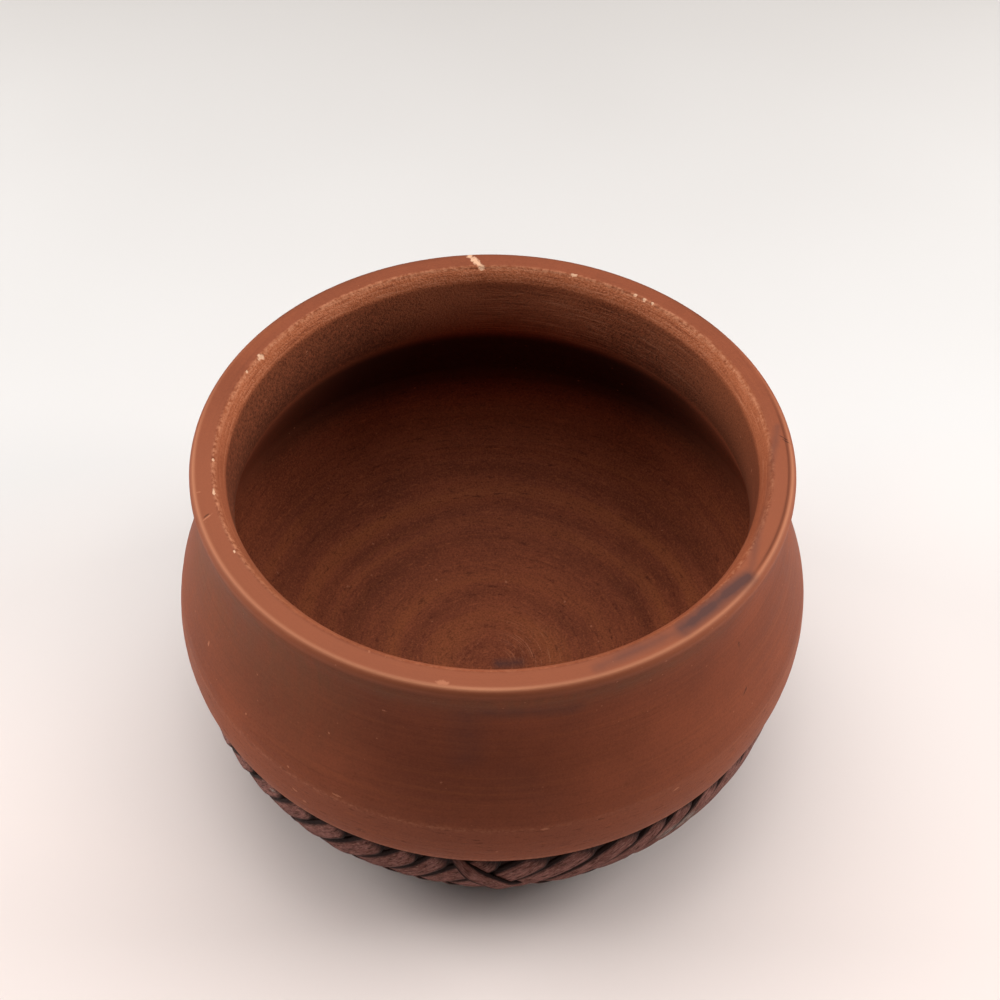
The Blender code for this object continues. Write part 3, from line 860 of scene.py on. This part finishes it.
def strip_finish():
    """Dried leaf: mauve-brown, with fibres along the strip, blotches and pale flecks, and painted shade
    along its edges, on its parts behind other strips and on its top under the clay edge.
    """
    material, tree, shader = new_material("plait_strip")
    across = painted(tree, "across")
    length = painted(tree, "length")
    on_strip = shader_node(tree, "CombineXYZ", {0: across, 1: length})
    fibres = noise(tree, stretch(tree, on_strip, (5.0, 330.0, 1.0)), 1.0, 4.0, 0.65)
    fine = noise(tree, stretch(tree, on_strip, (13.0, 900.0, 1.0)), 1.0, 3.0, 0.65)
    patches = noise(tree, stretch(tree, on_strip, (1.4, 210.0, 1.0)), 1.0, 3.0, 0.6)
    colour = mixed(tree, between(tree, patches, 0.38, 0.62), STRIP_BROWN, STRIP_MAUVE)
    place = shader_node(tree, "TexCoord", {}, 3)
    ragged = between(tree, fine, 0.3, 0.7, -0.35, 0.35)
    grey = small_marks(tree, place, ragged, bleached)
    colour = mixed(tree, between(tree, grey, 0.05, 0.40, 0.0, 0.75), colour, STRIP_BLEACHED)
    colour = mixed(tree, between(tree, fibres, 0.52, 0.34, 0.0, 0.90), colour, STRIP_DARK)
    colour = mixed(tree, between(tree, fine, 0.55, 0.67, 0.0, 0.80), colour, STRIP_PALE)
    colour = mixed(tree, between(tree, fine, 0.44, 0.32, 0.0, 0.70), colour, STRIP_DARK)
    # Painted shade along both edges of each strip, in the gaps to its neighbours
    left_edge_shade = between(tree, across, -0.48, -0.74, 0.0, 0.96)
    right_edge_shade = between(tree, across, 0.66, 0.86, 0.0, 0.96)
    colour = mixed(tree, sums(tree, "MAXIMUM", left_edge_shade, right_edge_shade), colour, STRIP_SHADE_BLACK)
    # Painted shade where the strip lies behind others
    colour = laid(tree, colour, STRIP_SHADE_BLACK, 0.92, painted(tree, "shade_where_hidden"))
    tree.links.new(colour, shader.inputs["Base Color"])
    tree.links.new(between(tree, fibres, 0.3, 0.7, 0.78, 0.60), shader.inputs["Roughness"])
    shader.inputs["Specular IOR Level"].default_value = 0.12
    depth = sums(tree, "ADD", times(tree, fibres, 0.40), times(tree, fine, 0.25))
    bump = shader_node(tree, "Bump", {"Height": depth, "Distance": 0.001, "Strength": 0.9})
    tree.links.new(bump, shader.inputs["Normal"])
    return material


strip_material = strip_finish()
for number, strand in enumerate(strand_pieces):
    strand.data.materials.append(strip_material)
    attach(strand, "root")
    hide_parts(f"plait_strand_{number + 1}")

# Join strip. One strip that leans the other way at the front, laid over the plait where the
# ends of the strands meet, with its own two ends tucked behind the strips beside it.
JOIN_TOP = math.radians(-3.6)
JOIN_FOOT = math.radians(12.8)
JOIN_WIDTH = 0.0034
JOIN_CROWN = 0.0012
JOIN_TILT = -0.16
share = np.linspace(0, 1, 60)
join_across = strip_reach * (1 - 2 * share)
join_along = (JOIN_TOP + (JOIN_FOOT - JOIN_TOP) * share) * centre_radius
join_lift = layer_step * (0.5 + 0.85 * span(share, 0.06, 0.22, 0.42, 0.60)
                          - 0.5 * soft_step(share, 0.62, 0.8) - 0.6 * soft_step(-share, -0.12, 0.0))
join_lean = np.full(len(share), (join_along[-1] - join_along[0]) / (join_across[-1] - join_across[0]))
join_stations = np.column_stack((join_along, join_across, join_lift, join_lean))
join_section = (JOIN_WIDTH * (1 - 0.35 * soft_step(-share, -0.25, 0.0)), np.full(len(share), JOIN_CROWN),
                np.zeros(len(share)), np.full(len(share), JOIN_TILT))
# Painted shade on the join's two ends, where they tuck behind the strips beside it
tucked_shade = np.maximum(soft_step(share, 0.62, 0.80), soft_step(-share, -0.10, 0.0))
join = laid_strip("join_strip_laid", join_stations, join_section, tucked_shade, STRANDS)
join.data.materials.append(strip_material)
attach(join, "root")
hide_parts("join_strip")

# Floor. A sheet of white paper lies under the bowl and takes its soft shadow. Its colour is painted warmer
# in the near light and greyer further back, as painted light that falls away from the lamps.
FLOOR_HALF = 3.0
PAPER_NEAR = (0.925, 0.815, 0.768, 1.0)
PAPER_MIDDLE = (0.690, 0.668, 0.650, 1.0)
PAPER_FAR = (0.492, 0.460, 0.435, 1.0)
NEAR_UNTIL = -0.05
MIDDLE_AT = 0.08
FAR_FROM = 0.40
floor_mesh = bpy.data.meshes.new("paper_floor")
corners = FLOOR_HALF * np.array(((-1, -1, 0), (1, -1, 0), (1, 1, 0), (-1, 1, 0)))
floor_mesh.from_pydata(corners, [], [(0, 1, 2, 3)])
floor = bpy.data.objects.new("paper_floor", floor_mesh)
bpy.context.scene.collection.objects.link(floor)
paper, tree, shader = new_material("white_paper")
paper_place = shader_node(tree, "TexCoord", {}, 3)
paper_depth = shader_node(tree, "SeparateXYZ", {0: paper_place}, 1)
paper_waver = between(tree, noise(tree, paper_place, 6.0, 2.0), 0.3, 0.7, -0.02, 0.02)
paper_depth = sums(tree, "ADD", paper_depth, paper_waver)
paper_colour = mixed(tree, between(tree, paper_depth, NEAR_UNTIL, MIDDLE_AT), PAPER_NEAR, PAPER_MIDDLE)
paper_colour = mixed(tree, between(tree, paper_depth, MIDDLE_AT, FAR_FROM), paper_colour, PAPER_FAR)
tree.links.new(paper_colour, shader.inputs["Base Color"])
shader.inputs["Roughness"].default_value = 0.9
shader.inputs["Specular IOR Level"].default_value = 0.1
floor_mesh.materials.append(paper)

# Light. A wide soft panel overhead and one on each side, as in a white light tent that is
# open towards the camera, with a little light from all round.


def panel(name, place, aim, size, power):
    """A square panel of light that faces a point."""
    light = bpy.data.lights.new(name, "AREA")
    light.shape = "SQUARE"
    light.size = size
    light.energy = power
    lamp = bpy.data.objects.new(name, light)
    lamp.location = place
    direction = np.array(aim) - np.array(place)
    across_floor = math.hypot(direction[0], direction[1])
    lamp.rotation_euler = (math.atan2(across_floor, -direction[2]), 0.0,
                           math.atan2(direction[1], direction[0]) - math.pi / 2)
    bpy.context.scene.collection.objects.link(lamp)


panel("overhead", (0.0, 0.22, 0.75), (0.0, 0.08, 0.04), 0.85, 6.0)
panel("left_side", (-0.62, 0.12, 0.30), (0.0, 0.04, 0.04), 0.37, 3.2)
panel("right_side", (0.62, 0.12, 0.30), (0.0, 0.04, 0.04), 0.37, 3.7)

world = bpy.data.worlds.new("studio")
world.use_nodes = True
bpy.context.scene.world = world
air = world.node_tree.nodes["Background"]
air.inputs["Color"].default_value = (1.0, 0.98, 0.96, 1.0)
air.inputs["Strength"].default_value = 0.06
bpy.context.scene.view_settings.view_transform = "Standard"
